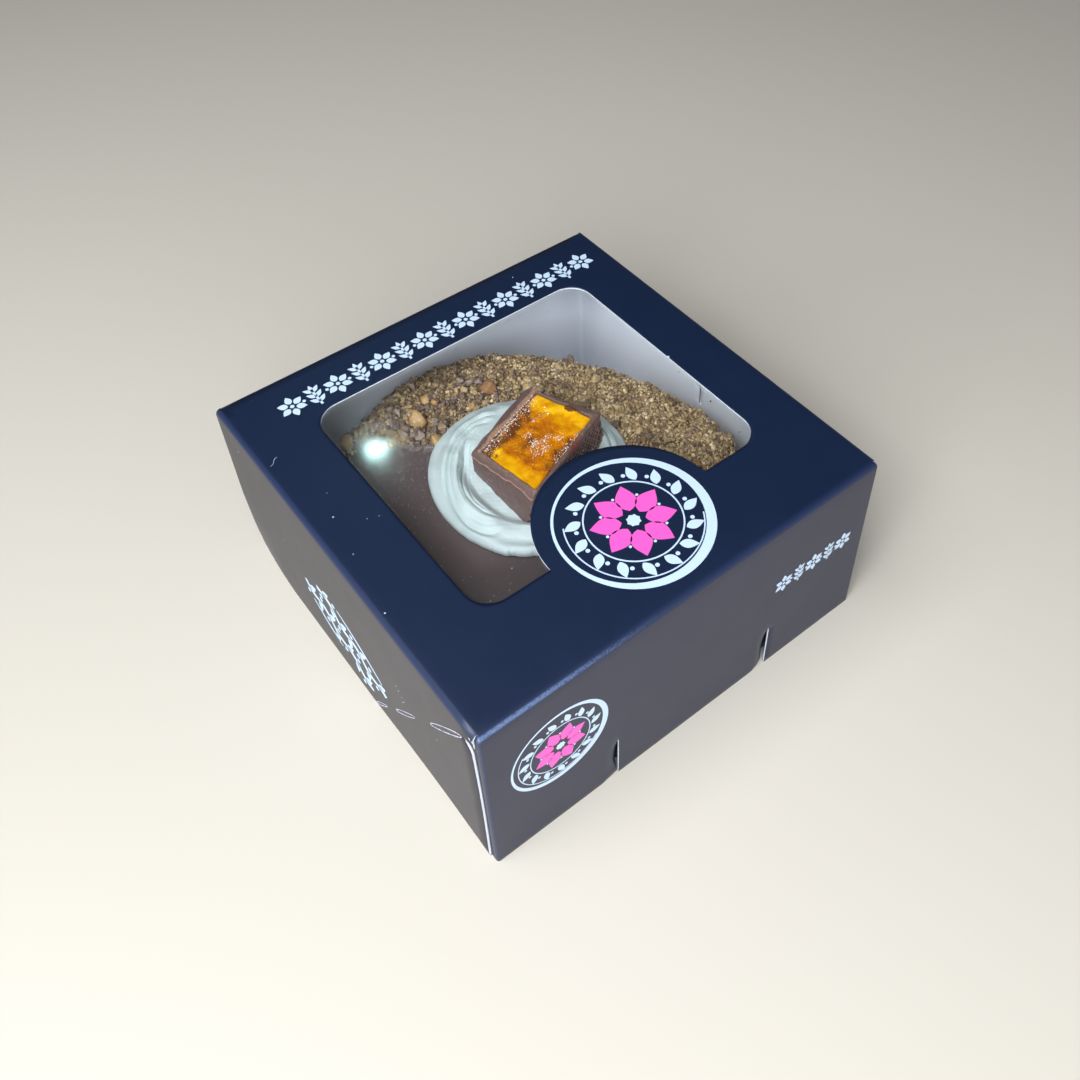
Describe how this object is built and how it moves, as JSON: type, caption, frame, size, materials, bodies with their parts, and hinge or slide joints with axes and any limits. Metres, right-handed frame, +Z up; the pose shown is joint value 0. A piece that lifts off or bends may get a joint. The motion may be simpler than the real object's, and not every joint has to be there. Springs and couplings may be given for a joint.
{
  "type": "boxed doughnut",
  "caption": "Shut square paperboard carton with a clear window, holding a chocolate doughnut topped with crumbs, piped cream and a honeycomb chunk.",
  "frame": {"origin": "on the ground, under the middle of the carton", "axes": "+X to the right, the front wall with the two slits faces -Y, +Z up through the window"},
  "size_m": [0.12, 0.12, 0.0575],
  "materials": {
    "tray_board": "white board inside, dark navy satin print on the back wall",
    "printed_board": "dark navy satin print with white and pink motifs, raw white cut edges",
    "clear_film": "thin clear glossy film",
    "doughnut": "milk chocolate glaze over fried dough, brown and gold biscuit crumbs",
    "cream": "smooth matt whipped cream",
    "chocolate": "satin milk chocolate",
    "honeycomb": "glassy golden honeycomb, burnt brown in places, with sugar sparkle"
  },
  "bodies": {
    "base": {"carton_tray": "tray_board", "doughnut": "doughnut", "cream_swirl": "cream", "chocolate_coat": "chocolate", "honeycomb_core": "honeycomb"},
    "lid": {"carton_lid": "printed_board", "window_film": "clear_film"}
  },
  "joints": [
    {"name": "lid_fold", "type": "hinge", "parent": "base", "child": "lid", "pos_m": [0, 0.06, 0.0575], "axis": [-1, 0, 0], "range_deg": [0, 115]}
  ]
}
